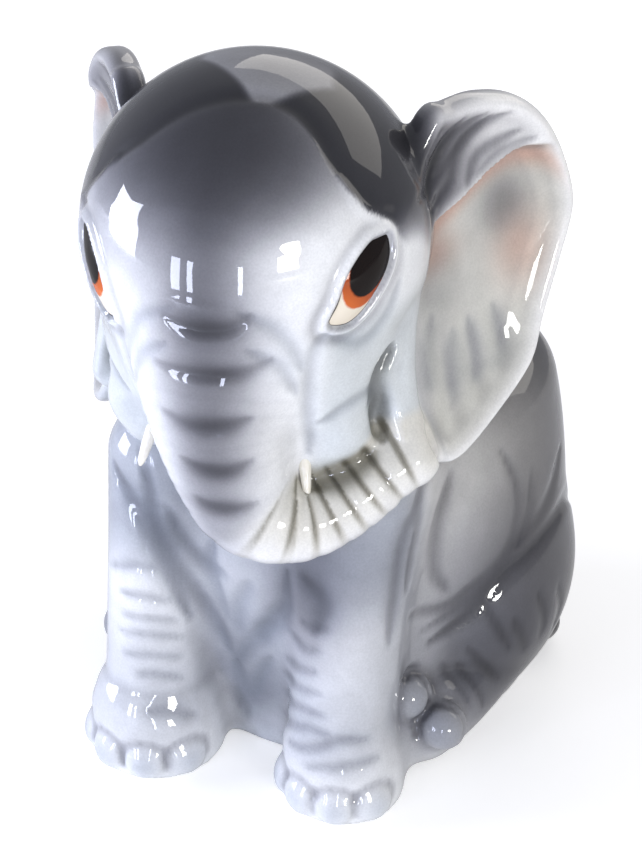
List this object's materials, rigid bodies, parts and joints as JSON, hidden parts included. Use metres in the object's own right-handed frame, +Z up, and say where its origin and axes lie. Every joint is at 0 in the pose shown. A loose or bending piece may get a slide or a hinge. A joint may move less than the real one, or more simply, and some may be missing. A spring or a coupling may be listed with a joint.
{
  "type": "figural coin bank",
  "caption": "Glazed ceramic coin bank in the form of a seated elephant, with a coin slot in its back and a rubber stopper under its base.",
  "frame": {"origin": "on the underside of the base, on the floor plane, near the middle of the footprint", "axes": "+Z up, -Y the way the figure faces, +X to the figure's own left"},
  "size_m": [0.1323, 0.1436, 0.185],
  "materials": {
    "glazed_body": "gloss glaze over airbrushed grey",
    "bare_clay": "unglazed, wiped smooth",
    "stopper_rubber": "matt moulded"
  },
  "bodies": {
    "bank": {"torso_shell": "glazed_body", "base_plate": "bare_clay", "head_shell": "glazed_body", "trunk": "glazed_body", "left_ear": "glazed_body", "right_ear": "glazed_body", "left_tusk": "glazed_body", "right_tusk": "glazed_body", "left_foreleg": "glazed_body", "right_foreleg": "glazed_body", "left_hindleg": "glazed_body", "right_hindleg": "glazed_body", "tail": "glazed_body"},
    "stopper": {"stopper": "stopper_rubber"}
  },
  "joints": [
    {"name": "stopper_pull", "type": "slide", "parent": "bank", "child": "stopper", "axis": [0, 0, -1], "range_m": [0, 0.02]}
  ]
}
